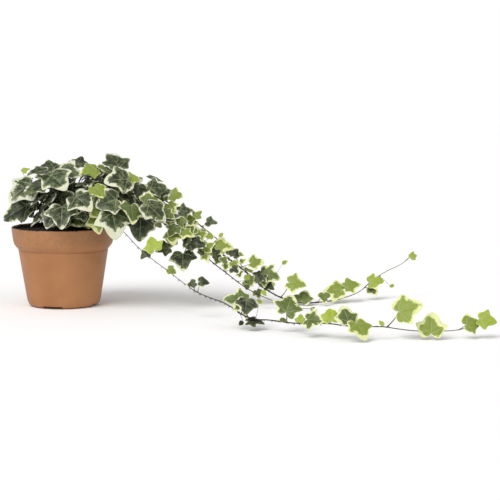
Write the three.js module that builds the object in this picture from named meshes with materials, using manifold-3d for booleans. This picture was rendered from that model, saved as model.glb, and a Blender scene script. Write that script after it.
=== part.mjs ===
// Potted variegated ivy: a moulded terracotta-coloured plastic pot full of compost, a low crown of
// leafy shoots, and four long trails that leave the right of the rim and run out along the surface.
//
// Millimetres. +Z is up, the pot's axis is Z, and the origin is the middle of the pot's flat
// underside, which stands on the surface. +X is the way the trails run, and -Y faces the viewer.
//
// Every shoot grows by one rule. A stem follows its route. The leaves that show best stand where
// the real ones do, and the others follow the stem at even spacing, on alternate sides. Each stands
// on a petiole with its blade turned to the light. A blade that would come too near another one, or
// near a stem, the pot or the surface is held in another layer, leaned over, turned flatter or made
// smaller, in fixed steps, until it stands clear, and is left out if none of them does.
import * as THREE from "three";
import { mergeVertices } from "three/addons/utils/BufferGeometryUtils.js";
import Module from "manifold-3d";

const wasm = await Module();
wasm.setup();
const { Manifold } = wasm;

// ---------------------------------------------------------------- driving dimensions
const POT_HEIGHT = 92;
const RIM_RADIUS = 60;
const COLLAR_FOOT_RADIUS = 52.2; // where the collar steps in to the body
const COLLAR_HEIGHT = 26;
const FOOT_RADIUS = 42.6; // body radius just above the rounded bottom corner
const WALL = 1.5;
const FLOOR_THICKNESS = 2.2;
const POT_SIDES = 36;

const NOTCH = { count: 4, wide: 23, high: 3, inner: 30, roof: 2.2, first: -103 }; // degrees from +X
const DRAIN_RADIUS = 4;
const DRAIN_AT = 35.5; // drain holes' distance from the pot's axis

const SOIL_LEVEL = 89; // at the wall; the middle is heaped
const SOIL_HEAP = 5;
const SOIL_CRUMB = 0.9; // height of the crumbs in its surface
const CLEARANCE = 0.3; // between pieces that rest in each other

const ROOTED_DEPTH = 22; // how deep a stem stands in its hole
const HOLE_ROOM = 1; // between a stem and its hole
const CROWN_STEM_RADIUS = 1;
const TRAIL_STEM_RADIUS = 1.1;
const STEM_SIDES = 4;
const STEM_STEP = 16; // length of one facet of a stem
const BARE_STEM = 10; // length above the compost's level that carries no leaf

const BLADE_THICKNESS = 0.9;
const PETIOLE_WIDTH = 1.3;
const LEAF_GAP = 0.4; // least air between one blade and anything else
const FLOOR_GAP = 0.3; // least height of foliage over the surface

// ---------------------------------------------------------------- leaf forms
// Half outlines of a blade, as [across, along] from the petiole's joint to the tip, for a tip at 1.
const FIVE_LOBED = [[0.38, -0.17], [0.5, 0.1], [0.7, 0.37], [0.37, 0.5]];
const THREE_LOBED = [[0.3, -0.12], [0.6, 0.3], [0.3, 0.48]];
const UNFOLDING = [[0.34, 0.36]];
const YOUNG_LEAF = 15; // blades shorter than this have three lobes
const BUD = 10; // and blades shorter than this none yet
const BLADE_CENTRE = 0.3; // where along the midrib the blade is highest

// How a leaf that stands too near something is moved, tried in this order: its petiole on another
// place of the stem, its blade further out or in along the light, in millimetres, leaned to one
// side, and turned flatter. Blades that lean or lie flat are a little smaller.
const ROOT_PLACES = [0, -8, 6]; // along the stem, from where the petiole would stand best
const LAYERS = [0, 3, -3, 6, 10];
const LEANS = [0, 0.4, -0.4];
const LIFTS = [0, 0.6, 1.4];
const TRIES = LIFTS.flatMap((lift) =>
  LEANS.flatMap((lean) =>
    LAYERS.flatMap((layer) =>
      ROOT_PLACES.map((_, root) => ({ lift, lean, layer, root })))));

// ---------------------------------------------------------------- the shoots
// Crown shoots: where each ends, and the leaves on it that show best, each as the [x, y, z] of its
// blade's joint, its size, and where its tip points as seen from the front: degrees, 0 to the right.
const CROWN = {
  shoot_front: { tip: [4, -53, 112], shown: [[7, -62, 120, 30, -88]] },
  shoot_front_right: { tip: [24, -50, 120], shown: [[22, -58, 128, 29, -48], [36, -52, 131, 17, 150]] },
  shoot_front_low_right: { tip: [44, -51, 106], shown: [[52, -58, 117, 19, 215], [32, -56, 110, 13, 190]] },
  shoot_front_left: { tip: [-10, -38, 146], shown: [[-7, -46, 155, 30, -52], [-14, -34, 150, 25, 235]] },
  shoot_left_low: { tip: [-40, -6, 111], shown: [[-40, -13, 118, 33, 205]] },
  shoot_left: { tip: [-40, -14, 134], shown: [[-34, -22, 143, 33, 222]] },
  shoot_left_top: { tip: [-44, 6, 142], shown: [[-45, -8, 156, 10, 45], [-25, -6, 146, 26, 188]] },
  shoot_centre_left: { tip: [0, -20, 155], shown: [[3, -32, 159, 25, -15], [-8, -12, 161, 23, 170]] },
  shoot_centre: { tip: [19, -10, 160], shown: [[20, -14, 165, 15, 80], [14, -24, 161, 18, 150]] },
  shoot_centre_right: {
    tip: [41, -30, 156],
    shown: [[42, -32, 160, 20, 205], [42, -52, 138, 17, -55], [49, -33, 153, 17, 240]],
  },
  shoot_top_right: { tip: [66, -16, 154], shown: [[68, -24, 162, 28, 90], [76, -34, 150, 18, 30]] },
  shoot_right_front: { tip: [70, -36, 142], shown: [[79, -46, 150, 29, 194]] },
  shoot_right_low: { tip: [66, -50, 106], shown: [[63, -62, 113, 33, -82], [66, -50, 123, 25, 200]] },
  shoot_right_out: { tip: [98, -44, 114], shown: [[95, -50, 109, 30, -98], [103, -54, 121, 28, -40]] },
  shoot_right: { tip: [97, -6, 136], shown: [[90, -16, 142, 21, 250], [104, -20, 138, 21, 25]] },
  shoot_back_right: { tip: [76, 48, 130], shown: [] },
  shoot_back: { tip: [34, 60, 128], shown: [] },
  shoot_back_top: { tip: [28, 28, 156], shown: [] },
  shoot_back_left: { tip: [-8, 58, 122], shown: [] },
  shoot_left_back: { tip: [-42, 40, 124], shown: [] },
  shoot_left_rear_top: { tip: [-12, 22, 152], shown: [] },
};
const CROWN_ROOT_SHARE = 0.34; // how far out the root stands, as a share of the way to the tip
const SHOULDER_SHARE = 0.42; // where the shoot arches over, on the way from its root to its tip
const SHOULDER_RISE = 0.8; // its height there, as a share of the tip's
const LEAST_RISE = 24;
const CROWN_REST = { from: 34, to: Infinity, spacing: 15, sizes: [26, 27, 23], petiole: 14 };

// Trails: their routes, from the place of the root in the compost over the rim and out along the
// surface. Their best seen leaves have no y of their own, because they stand in front of the stem.
// The rest of the leaves stand between two distances along the route.
const TRAILS = [
  {
    node: "trail_lower",
    route: [[24, -20], [48, -40, 107], [68, -52, 97], [95, -62, 71], [126, -76, 49], [155, -100, 31],
      [171, -118, 26], [188, -140, 23], [200, -158, 19], [210, -174, 14.5], [223, -184, 11.5],
      [237, -190, 11.5], [254, -198, 10.5], [265, -208, 11], [279, -222, 13], [299, -236, 15],
      [314, -246, 14.5], [337, -248, 14], [354, -244, 13], [368, -238, 10], [385, -238, 8],
      [401, -242, 8.5], [423, -240, 8.5], [437, -236, 10.5], [449, -232, 17], [456, -231, 20]],
    shown: [[111, 73, 18, 110], [103, 70, 12, 225], [126, 51, 11, -20], [162, 42, 13, 15],
      [158, 39, 11, 195], [212, 30, 23, 158], [214, 32, 19, 262], [222, 27, 10, 280],
      [216, 9, 20, -10], [211, 11, 8, 238], [255, 22, 25, 76], [248, 13, 8, 0], [269, 14, 10, 95],
      [277, 16, 21, -16], [300, 18, 16, 90], [317, 20, 20, 92], [325, 19, 22, -74], [353, 15, 8, 110],
      [368, 29, 26, 25], [401, 7, 24, 90], [437, 15, 17, 25], [452, 20, 18, -8]],
    rest: { from: 38, to: 80, spacing: 13, sizes: [24, 24, 20], petiole: 12 },
  },
  {
    node: "trail_upper",
    route: [[36, 5], [66, 7, 128], [100, 2, 125], [136, 2, 98], [159, 4, 78], [179, 5, 63],
      [200, 5, 48], [218, 5, 33], [232, 7, 20], [253, 4, 8], [273, -4, 3], [295, 0, 2.2],
      [324, 18, 4], [348, 36, 10], [364, 46, 22], [382, 50, 33], [400, 50, 42], [410, 50, 51]],
    shown: [[109, 130, 18, 20], [123, 118, 16, -60], [136, 110, 17, 20], [154, 103, 12, 60],
      [146, 95, 16, -40], [155, 81, 16, 30], [170, 76, 10, 80], [182, 79, 8, 60], [179, 69, 20, 10],
      [176, 63, 12, 200], [198, 57, 13, 60], [197, 50, 14, -60], [218, 49, 17, 20], [232, 37, 23, -20],
      [232, 33, 16, 235], [236, 23, 13, -30], [255, 49, 9, 40], [263, 27, 21, -4], [278, 5, 19, 85],
      [302, 8, 14, -90], [327, 13, 26, 152], [331, 16, 19, 38], [361, 21, 18, 22], [361, 15, 14, -52],
      [386, 14, 8, 60], [410, 50, 10, 50]],
    rest: { from: 40, to: 100, spacing: 18, sizes: [22, 20, 18], petiole: 9 },
  },
  {
    node: "trail_middle",
    route: [[31, -8], [66, -12, 119], [98, -20, 110], [121, -24, 96], [140, -28, 83], [155, -31, 72],
      [175, -38, 54], [190, -42, 43], [212, -42, 26], [232, -32, 14], [252, -30, 6], [270, -42, 2.5],
      [286, -56, 3]],
    shown: [[141, 64, 25, -85], [150, 71, 21, -15], [125, 70, 17, 180], [118, 111, 16, -30],
      [133, 95, 16, 240], [140, 89, 16, -20], [149, 80, 14, -120], [166, 71, 14, 40],
      [165, 62, 11, -60], [186, 56, 11, 60], [197, 49, 12, -40], [212, 35, 9, 60], [231, 22, 9, -60]],
    rest: { from: 40, to: 150, spacing: 18, sizes: [24, 20, 16], petiole: 10 },
  },
  {
    node: "trail_back",
    route: [[24, 22], [60, 38, 130], [98, 42, 128], [136, 38, 106], [158, 36, 90], [180, 34, 72],
      [199, 33, 53], [214, 33, 34], [228, 34, 22]],
    shown: [],
    rest: { from: 40, to: 270, spacing: 26, sizes: [19, 15, 11], petiole: 7 },
  },
];

// Where the blades face: out from the middle of the crown and up, and to the front on the trails
// and on the leaves that show best.
const UP = new THREE.Vector3(0, 0, 1);
const CROWN_CENTRE = new THREE.Vector3(24, 6, 98);
const FRONT_LIGHT = new THREE.Vector3(0.05, -0.78, 0.62);
const IN_FRONT = 6; // how far a trail's best seen leaves stand in front of its stem
const PETIOLE_LEAD = 6; // how far below the nearest place on the stem their petioles leave it

// ---------------------------------------------------------------- small tools
// A repeatable stream of numbers from 0 to 1.
function drawsFrom(seed) {
  let state = (seed * 2654435761) % 4294967296;
  return () => {
    state = (state * 1664525 + 1013904223) % 4294967296;
    return state / 4294967296;
  };
}

const jitter = (draw) => new THREE.Vector3(draw() - 0.5, draw() - 0.5, draw() - 0.5);

// A solid from corners and the triangles between them.
function solidOf(positions, triangles) {
  return new Manifold(new wasm.Mesh({
    numProp: 3,
    vertProperties: new Float32Array(positions),
    triVerts: new Uint32Array(triangles),
  }));
}

// A solid from three.js geometry, with its shared corners merged.
function solidFrom(geometry) {
  const bare = new THREE.BufferGeometry().setAttribute("position", geometry.getAttribute("position"));
  if (geometry.index) bare.setIndex(geometry.index);
  const merged = mergeVertices(bare, 1e-4);
  return solidOf(merged.attributes.position.array, merged.index.array);
}

// A three.js mesh from a solid, with a name and its own material.
function meshFrom(solid, name, material) {
  const { numProp, vertProperties, triVerts } = solid.getMesh();
  const positions = new Float32Array((vertProperties.length / numProp) * 3);
  for (let i = 0; i < positions.length / 3; i++) {
    positions.set(vertProperties.subarray(i * numProp, i * numProp + 3), i * 3);
  }
  const geometry = new THREE.BufferGeometry()
    .setAttribute("position", new THREE.BufferAttribute(positions, 3))
    .setIndex(new THREE.BufferAttribute(new Uint32Array(triVerts), 1));
  geometry.computeVertexNormals();
  const mesh = new THREE.Mesh(geometry, material.clone());
  mesh.name = name;
  return mesh;
}

// A surface of revolution about Z from [radius, height] pairs that start and end on the axis.
function turned(profile) {
  const points = profile.map(([r, z]) => new THREE.Vector2(r, z));
  return new THREE.LatheGeometry(points, POT_SIDES).rotateX(Math.PI / 2);
}

// A box [along radius from, to], across, [z from, to], turned to an angle about the pot's axis.
function radialBox([from, to], across, [low, high], degrees) {
  return solidFrom(new THREE.BoxGeometry(to - from, across, high - low)
    .translate((from + to) / 2, 0, (low + high) / 2)
    .rotateZ(THREE.MathUtils.degToRad(degrees)));
}

// An upright cylinder with the middle of its foot at [x, y, z].
function upright(radius, height, sides, [x, y, z]) {
  return new THREE.CylinderGeometry(radius, radius, height, sides).rotateX(Math.PI / 2)
    .translate(x, y, z + height / 2);
}

// A low-sided tube of even radius along a line, with closed ends.
function tube({ curve, facets }, radius) {
  const ring = Array.from({ length: STEM_SIDES }, (_, i) => {
    const angle = (i / STEM_SIDES) * 2 * Math.PI;
    return new THREE.Vector2(radius * Math.cos(angle), radius * Math.sin(angle));
  });
  return solidFrom(new THREE.ExtrudeGeometry(new THREE.Shape(ring), { steps: facets, extrudePath: curve }));
}

// ---------------------------------------------------------------- pot and compost
const OUTER = [
  [0, 0], [36.5, 0], [40.7, 1.7], [FOOT_RADIUS, 6.4], [COLLAR_FOOT_RADIUS, POT_HEIGHT - COLLAR_HEIGHT],
  [57.2, 72], [57.9, 74.4], [RIM_RADIUS - 0.5, POT_HEIGHT - 1.2], [RIM_RADIUS - 1.2, POT_HEIGHT],
];
const INNER = [
  [0, FLOOR_THICKNESS], [37.5, FLOOR_THICKNESS], [FOOT_RADIUS - WALL, 7],
  [COLLAR_FOOT_RADIUS - WALL, POT_HEIGHT - COLLAR_HEIGHT + 0.6], [55.9, 73.4],
  [RIM_RADIUS - 0.5 - WALL, POT_HEIGHT - 1.2],
];

function notchAngles() {
  return Array.from({ length: NOTCH.count }, (_, i) => NOTCH.first + (i * 360) / NOTCH.count);
}

// The raised floor over each notch, grown by an allowance for the compost that lies on it.
function notchRoofs(allowance) {
  const from = NOTCH.inner - NOTCH.roof - allowance;
  const top = NOTCH.high + NOTCH.roof + allowance;
  const across = NOTCH.wide + 2 * (NOTCH.roof + allowance);
  return notchAngles().map((angle) => radialBox([from, RIM_RADIUS], across, [-1, top], angle));
}

// Thin-walled, with a stepped collar. Four notches are moulded into the edge of its flat underside,
// each with a drain hole through its roof.
function makePot() {
  const over = POT_HEIGHT + 1;
  const outside = solidFrom(turned([...OUTER, [0, POT_HEIGHT]]));
  const inside = solidFrom(turned([...INNER, [RIM_RADIUS - 1.9, over], [0, over]]));
  const cavity = Manifold.difference([inside, ...notchRoofs(0)]);
  const notches = notchAngles().map((angle) =>
    radialBox([NOTCH.inner, RIM_RADIUS], NOTCH.wide, [-1, NOTCH.high], angle));
  const drains = notchAngles().map((angle) =>
    solidFrom(upright(DRAIN_RADIUS, 12, 10, [DRAIN_AT, 0, -6]).rotateZ(THREE.MathUtils.degToRad(angle))));
  return Manifold.difference([outside, cavity, ...notches, ...drains]);
}

// Height of the compost: heaped in the middle, with crumbs of two sizes.
function soilHeight(x, y) {
  const out = Math.min(Math.hypot(x, y) / RIM_RADIUS, 1);
  const coarse = Math.sin(x * 0.83 + 1.7 * Math.sin(y * 0.31)) * Math.cos(y * 0.71 - 0.9 * Math.sin(x * 0.37));
  const fine = Math.sin(x * 1.9 + y * 1.3) * Math.cos(x * 1.1 - y * 2.1);
  return SOIL_LEVEL + SOIL_HEAP * Math.cos((out * Math.PI) / 2) + SOIL_CRUMB * (coarse + 0.6 * fine);
}

// The root ball: it fills the pot to just under its rim, and has one plain hole for each stem.
function makeSoil(holes) {
  const inset = ([r, z]) => [r - CLEARANCE * 1.2, z + CLEARANCE];
  const wall = [[0, FLOOR_THICKNESS + CLEARANCE], ...INNER.slice(1, 5).map(inset)];
  const topRings = [57, 46, 32, 16, 0].map((r) => [r, SOIL_LEVEL]);
  const geometry = turned([...wall, ...topRings]);
  const at = geometry.getAttribute("position");
  for (let i = 0; i < at.count; i++) {
    if (at.getZ(i) > SOIL_LEVEL - 0.01) at.setZ(i, soilHeight(at.getX(i), at.getY(i)));
  }
  return Manifold.difference([solidFrom(geometry), ...notchRoofs(CLEARANCE), ...holes]);
}

// ---------------------------------------------------------------- stems
// A smooth line through a route's points, and the straight facets that the stem takes along it,
// which can be asked for their place and direction at a distance.
function centreline(points) {
  const curve = new THREE.CatmullRomCurve3(points.map((p) => new THREE.Vector3(...p)), false, "centripetal");
  const facets = Math.round(curve.getLength() / STEM_STEP);
  const corners = curve.getSpacedPoints(facets);
  const reached = [0];
  for (let i = 1; i < corners.length; i++) {
    reached.push(reached[i - 1] + corners[i].distanceTo(corners[i - 1]));
  }
  const at = (distance) => {
    const next = Math.min(Math.max(reached.findIndex((d) => d >= distance), 1), facets);
    const share = (distance - reached[next - 1]) / (reached[next] - reached[next - 1]);
    const point = corners[next - 1].clone().lerp(corners[next], share);
    return { point, along: corners[next].clone().sub(corners[next - 1]).normalize() };
  };
  return { curve, facets, length: reached[facets] - 0.5, at };
}

// The distance along a line, above the compost, at which a measure of the place there is least.
function nearestTo(line, measure) {
  let best = ROOTED_DEPTH + BARE_STEM;
  for (let distance = best; distance < line.length; distance += 2) {
    if (measure(line.at(distance)) < measure(line.at(best))) best = distance;
  }
  return best;
}

// The first points of every route: straight up from the bottom of its hole until clear of the compost.
function rootedAt(x, y) {
  const surface = SOIL_LEVEL + SOIL_HEAP;
  return [SOIL_LEVEL - ROOTED_DEPTH, surface + 1, surface + 7].map((z) => [x, y, z]);
}

// A crown shoot rises from its root, arches over and ends at its tip.
function crownShoot([node, { tip: [x, y, z], shown }], index) {
  const root = [x * CROWN_ROOT_SHARE, y * CROWN_ROOT_SHARE];
  const shoulder = [
    THREE.MathUtils.lerp(root[0], x, SHOULDER_SHARE), THREE.MathUtils.lerp(root[1], y, SHOULDER_SHARE),
    SOIL_LEVEL + Math.max((z - SOIL_LEVEL) * SHOULDER_RISE, LEAST_RISE),
  ];
  const line = centreline([...rootedAt(...root), shoulder, [x, y, z]]);
  return { node, root, line, shown, rest: CROWN_REST, seed: 101 + index, radius: CROWN_STEM_RADIUS };
}

function trailShoot({ node, route: [root, ...onward], shown, rest }, index) {
  const line = centreline([...rootedAt(...root), ...onward]);
  const placed = shown.map(([x, z, size, heading]) => {
    const { point } = line.at(nearestTo(line, ({ point: p }) => Math.abs(p.x - x)));
    return [x, point.y - IN_FRONT, z, size, heading];
  });
  return {
    node, root, line, shown: placed, rest, seed: 911 + index, radius: TRAIL_STEM_RADIUS, light: FRONT_LIGHT,
  };
}

// ---------------------------------------------------------------- leaves
// The outline of a blade, from one side of its joint to the other. Waist widens or narrows the
// sinuses between its lobes.
function outlineOf(size, waist) {
  const lobed = size < YOUNG_LEAF ? THREE_LOBED : FIVE_LOBED;
  const form = size < BUD ? UNFOLDING : lobed;
  const half = form.map(([u, v], index) => [(form.length - index) % 2 ? u * waist : u, v]);
  const base = PETIOLE_WIDTH / 2 / size;
  return [[base, 0], ...half, [0, 1], ...half.map(([u, v]) => [-u, v]).reverse(), [-base, 0]];
}

// A leaf as one solid: the blade is a fan of triangles round a raised centre, the same on its upper
// and lower face, and its petiole runs from its base to a root inside the stem, if it has one.
function leafSolid({ joint, normal, tipward, across, size, waist, cup }, root) {
  const outline = outlineOf(size, waist);
  const place = ([u, v], side) => {
    const sag = -cup * (u * u + (v - BLADE_CENTRE) ** 2) * size + (side * BLADE_THICKNESS) / 2;
    return joint.clone().addScaledVector(across, u * size).addScaledVector(tipward, v * size)
      .addScaledVector(normal, sag);
  };
  const n = outline.length;
  const face = [[0, BLADE_CENTRE], ...outline];
  const corners = [...face.map((p) => place(p, 1)), ...face.map((p) => place(p, -1))];
  const below = n + 1;
  const triangles = [];
  for (let a = 1; a <= n; a++) {
    const b = (a % n) + 1;
    triangles.push(0, a, b, below, b + below, a + below);
    if (a < n || !root) triangles.push(a, a + below, b + below, a, b + below, b);
  }
  if (root) {
    const over = across.clone().cross(joint.clone().sub(root)).normalize();
    const end = corners.length;
    for (const [u, v] of [[1, 1], [-1, 1], [-1, -1], [1, -1]]) {
      corners.push(root.clone().addScaledVector(across, (u * PETIOLE_WIDTH) / 2)
        .addScaledVector(over, (v * PETIOLE_WIDTH) / 2));
    }
    const socket = [1, n, n + below, 1 + below];
    for (let i = 0; i < 4; i++) {
      const j = (i + 1) % 4;
      triangles.push(socket[i], socket[j], end + j, socket[i], end + j, end + i);
    }
    triangles.push(end, end + 1, end + 2, end, end + 2, end + 3);
  }
  return solidOf(corners.flatMap((corner) => corner.toArray()), triangles);
}

// The places in the stem where a leaf's petiole may stand.
function rootsAt(line, station) {
  return ROOT_PLACES.map((shift) =>
    line.at(THREE.MathUtils.clamp(station + shift, ROOTED_DEPTH + BARE_STEM - 2, line.length)).point);
}

// The leaves of a shoot that show best.
function shownLeaves(shoot) {
  const draw = drawsFrom(shoot.seed);
  return shoot.shown.map(([x, y, z, size, heading]) => {
    const joint = new THREE.Vector3(x, y, z);
    const nearest = nearestTo(shoot.line, ({ point }) => point.distanceTo(joint));
    const roots = rootsAt(shoot.line, nearest - PETIOLE_LEAD);
    const outward = shoot.light ? new THREE.Vector3() : joint.clone().sub(CROWN_CENTRE).normalize();
    const facing = FRONT_LIGHT.clone().addScaledVector(outward, 0.55).addScaledVector(jitter(draw), 0.5);
    const aside = facing.clone().cross(UP).normalize();
    const angle = THREE.MathUtils.degToRad(heading);
    const tip = new THREE.Vector3(Math.cos(angle), -0.2, Math.sin(angle));
    const [cup, waist] = [0.15 + 0.2 * draw(), 0.86 + 0.3 * draw()];
    return { node: shoot.node, roots, joint, facing, aside, tip, size, cup, waist };
  });
}

// A size that goes from the first of three to the second at half way, and on to the third.
function sizeAt(share, [start, middle, end]) {
  if (share < 0.5) return THREE.MathUtils.lerp(start, middle, share * 2);
  return THREE.MathUtils.lerp(middle, end, share * 2 - 1);
}

// The other leaves of a shoot, on alternate sides of its stem.
function otherLeaves(shoot) {
  const { line, rest } = shoot;
  const draw = drawsFrom(shoot.seed + 500);
  const count = Math.floor((Math.min(rest.to, line.length) - rest.from) / rest.spacing) + 1;
  return Array.from({ length: count }, (_, index) => {
    const station = rest.from + index * rest.spacing;
    const { point, along } = line.at(station);
    const outward = point.clone().sub(CROWN_CENTRE).normalize().addScaledVector(UP, 0.3).normalize();
    const light = shoot.light ?? outward;
    const side = (index + shoot.seed) % 2 ? 1 : -1;
    const aside = along.clone().cross(light).normalize().multiplyScalar(side);
    const size = sizeAt(count > 1 ? index / (count - 1) : 1, rest.sizes) * (0.85 + 0.3 * draw());
    const petiole = rest.petiole * (size / rest.sizes[1]) * (0.8 + 0.5 * draw());
    const out = aside.clone().addScaledVector(light, 0.75).addScaledVector(along, 0.3)
      .addScaledVector(jitter(draw), 0.5).normalize();
    const joint = point.clone().addScaledVector(out, petiole);
    const facing = light.clone().addScaledVector(jitter(draw), 0.7);
    const tip = aside.clone().multiplyScalar(0.7).addScaledVector(along, 0.6).addScaledVector(UP, -0.6);
    const [cup, waist] = [0.18 + 0.2 * draw(), 0.86 + 0.3 * draw()];
    return { node: shoot.node, roots: rootsAt(line, station), joint, facing, aside, tip, size, cup, waist };
  });
}

// The blade of a leaf after one of TRIES.
function bladeOf({ joint, facing, aside, tip, size, cup, waist }, { layer, lean, lift }) {
  const normal = facing.clone().addScaledVector(aside, lean).addScaledVector(UP, lift).normalize();
  const hang = tip.clone().addScaledVector(UP, lift / 2);
  const tipward = hang.addScaledVector(normal, -hang.dot(normal)).normalize();
  const across = tipward.clone().cross(normal);
  const held = joint.clone().addScaledVector(normal, layer);
  const scale = 1 - 0.07 * lift - 0.12 * Math.abs(lean);
  return { joint: held, normal, tipward, across, size: size * scale, cup, waist };
}

const boxed = (solid, node) => ({ solid, node, box: solid.boundingBox() });

function boxesNear(a, b) {
  return [0, 1, 2].every((k) => a.min[k] < b.max[k] + LEAF_GAP && b.min[k] < a.max[k] + LEAF_GAP);
}

// Whether a solid keeps the least gap to the surface and to each of a list of boxed solids.
function clearOf(solid, others) {
  const box = solid.boundingBox();
  const apart = (other) => !boxesNear(box, other.box) || solid.minGap(other.solid, LEAF_GAP * 2) >= LEAF_GAP;
  return box.min[2] >= FLOOR_GAP && others.every(apart);
}

// Grows the leaves in turn, each clear of the stems, of the pot and of earlier leaves.
function grown(leaves, stems, fixed) {
  const standing = [];
  for (const leaf of leaves) {
    const ownStem = stems.filter((stem) => stem.node === leaf.node);
    const others = [...fixed, ...stems.filter((stem) => stem.node !== leaf.node), ...standing];
    for (const change of TRIES) {
      const blade = bladeOf(leaf, change);
      const solid = leafSolid(blade, leaf.roots[change.root]);
      if (clearOf(leafSolid(blade, null), ownStem) && clearOf(solid, others)) {
        standing.push(boxed(solid, leaf.node));
        break;
      }
    }
  }
  return standing;
}

// ---------------------------------------------------------------- assembly
const shoots = [...TRAILS.map(trailShoot), ...Object.entries(CROWN).map(crownShoot)];
const stems = shoots.map(({ node, line, radius }) => boxed(tube(line, radius), node));
const holes = shoots.map(({ root: [x, y], radius }) =>
  solidFrom(upright(radius + HOLE_ROOM, 60, 5, [x, y, SOIL_LEVEL - ROOTED_DEPTH - CLEARANCE])));

const pot = makePot();
const soil = makeSoil(holes);
const leaves = grown([...shoots.flatMap(shownLeaves), ...shoots.flatMap(otherLeaves)], stems,
  [boxed(pot, "pot"), boxed(soil, "soil")]);

const POT_PLASTIC = new THREE.MeshStandardMaterial({ color: 0xb57c50, roughness: 0.55, metalness: 0 });
const COMPOST = new THREE.MeshStandardMaterial({ color: 0x1d1815, roughness: 0.95, metalness: 0 });
const FOLIAGE = new THREE.MeshStandardMaterial({ color: 0x55703f, roughness: 0.5, metalness: 0 });

const ivy = new THREE.Group();
ivy.add(meshFrom(pot, "pot", POT_PLASTIC), meshFrom(soil, "soil", COMPOST));
for (const { node } of shoots) {
  const pieces = [...stems, ...leaves].filter((piece) => piece.node === node).map((piece) => piece.solid);
  // The union can leave specks too small to see beside the body, which is what is kept.
  const [body] = Manifold.union(pieces).decompose().sort((a, b) => b.volume() - a.volume());
  ivy.add(meshFrom(body, node, FOLIAGE));
}

export default ivy;
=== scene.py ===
"""Potted variegated ivy: the looks, built round the fixed frame of its CAD part.

Metres in Blender, in the CAD part's own frame: the origin is the middle of the pot's flat underside,
+Z is up, +X is the way the trails run, and -Y faces the camera. Shapes are worked out in millimetres
and turned to metres when they become meshes.

The pot is turned from its section, the compost is a heaped surface with crumbs on it, and each shoot
is one piece: its stem, its petioles and its blades. The stems follow the routes that the CAD stems
follow. Each fine blade is laid over a blade of the CAD shoot, which is found by its form.
"""

import math

import bpy
import numpy as np
from mathutils.kdtree import KDTree
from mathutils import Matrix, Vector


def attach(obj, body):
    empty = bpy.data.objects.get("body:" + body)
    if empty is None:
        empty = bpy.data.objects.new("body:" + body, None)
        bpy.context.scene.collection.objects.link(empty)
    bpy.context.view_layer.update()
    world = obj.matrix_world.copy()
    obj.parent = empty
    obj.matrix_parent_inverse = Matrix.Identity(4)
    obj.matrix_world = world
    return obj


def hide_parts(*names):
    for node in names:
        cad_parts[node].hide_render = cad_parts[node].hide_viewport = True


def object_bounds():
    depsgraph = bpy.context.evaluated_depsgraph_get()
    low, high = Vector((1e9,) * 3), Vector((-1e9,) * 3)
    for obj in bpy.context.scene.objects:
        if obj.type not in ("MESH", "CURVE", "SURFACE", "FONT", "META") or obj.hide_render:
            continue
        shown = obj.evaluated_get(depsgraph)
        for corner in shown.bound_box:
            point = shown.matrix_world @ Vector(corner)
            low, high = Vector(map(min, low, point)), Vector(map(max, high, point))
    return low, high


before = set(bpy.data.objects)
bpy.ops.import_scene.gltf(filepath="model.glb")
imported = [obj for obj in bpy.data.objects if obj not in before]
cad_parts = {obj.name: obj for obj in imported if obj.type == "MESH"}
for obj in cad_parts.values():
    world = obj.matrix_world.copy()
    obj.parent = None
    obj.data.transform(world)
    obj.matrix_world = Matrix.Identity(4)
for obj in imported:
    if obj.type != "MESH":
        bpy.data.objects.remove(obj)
cad_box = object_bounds()

MM = 0.001
UP = np.array([0.0, 0.0, 1.0])
draws = np.random.default_rng(20)
# The CAD part's box in mm, less a hair. The foliage is kept inside it.
BOX_LOW, BOX_HIGH = (np.array(corner) / MM + inset for corner, inset in zip(cad_box, (0.05, -0.05)))

# ---------------------------------------------------------------- sizes, in millimetres
POT_HEIGHT = 92
RIM_RADIUS = 60
POT_SIDES = 180
NOTCH = {"count": 4, "wide": 23, "high": 3, "inner": 30, "first": -103}
DRAIN_RADIUS = 4
DRAIN_AT = 35.5

SOIL_LEVEL = 90.2
SOIL_HEAP = 3.8
SOIL_CRUMB = 0.9
SOIL_RADIUS = 57.2
CRUMBS = 520
STEM_SURFACE = 94  # where the stems leave the compost
STEM_LEVEL = 89  # the level that a crown shoot's rise is counted from
ROOTED_DEPTH = 22
STATION = 1.5  # from point to point along a stem
CROWN_MIDDLE = (24, 6, 0)

CAD_BLADE = 0.9  # thickness of a CAD blade, by which it is found
BLADE = 0.42  # thickness of a real one in the middle
BLADE_CENTRE = 0.3  # where along the midrib a blade is highest, as a share of its length
SMALL_LEAF = 15  # blades shorter than this are made of fewer points
FINE, PLAIN = (80, 5), (40, 3)  # points round a blade, and rings of them from its hub to its margin
HUB = np.array([0, 0.06])
STEM_SIDES = 12
PETIOLE_STEPS, PETIOLE_SIDES = 10, 8
FIRST_TUFT, NEXT_TUFT, TUFT_ROOTS = 30, 6, 5  # aerial roots, counted in points along the stem

# Places spread over a blade, as shares of its length, at which it feels how near other leaves are.
GRID = np.stack(np.meshgrid(np.arange(-4, 5) * 0.15, np.arange(-1, 7) * 0.15), axis=-1).reshape(-1, 2)
FEELERS = GRID[np.abs(GRID[:, 0]) <= np.interp(GRID[:, 1], [-0.15, 0.4, 1], [0.38, 0.7, 0])]
FELT_WITHIN = 40  # of an inner leaf's foot
INNER_LEAVES = 8  # at most, on each crown stem
TRIES = 24  # draws from which an inner leaf takes the one with the most room
LEAST_ROOM = 1.6

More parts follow.
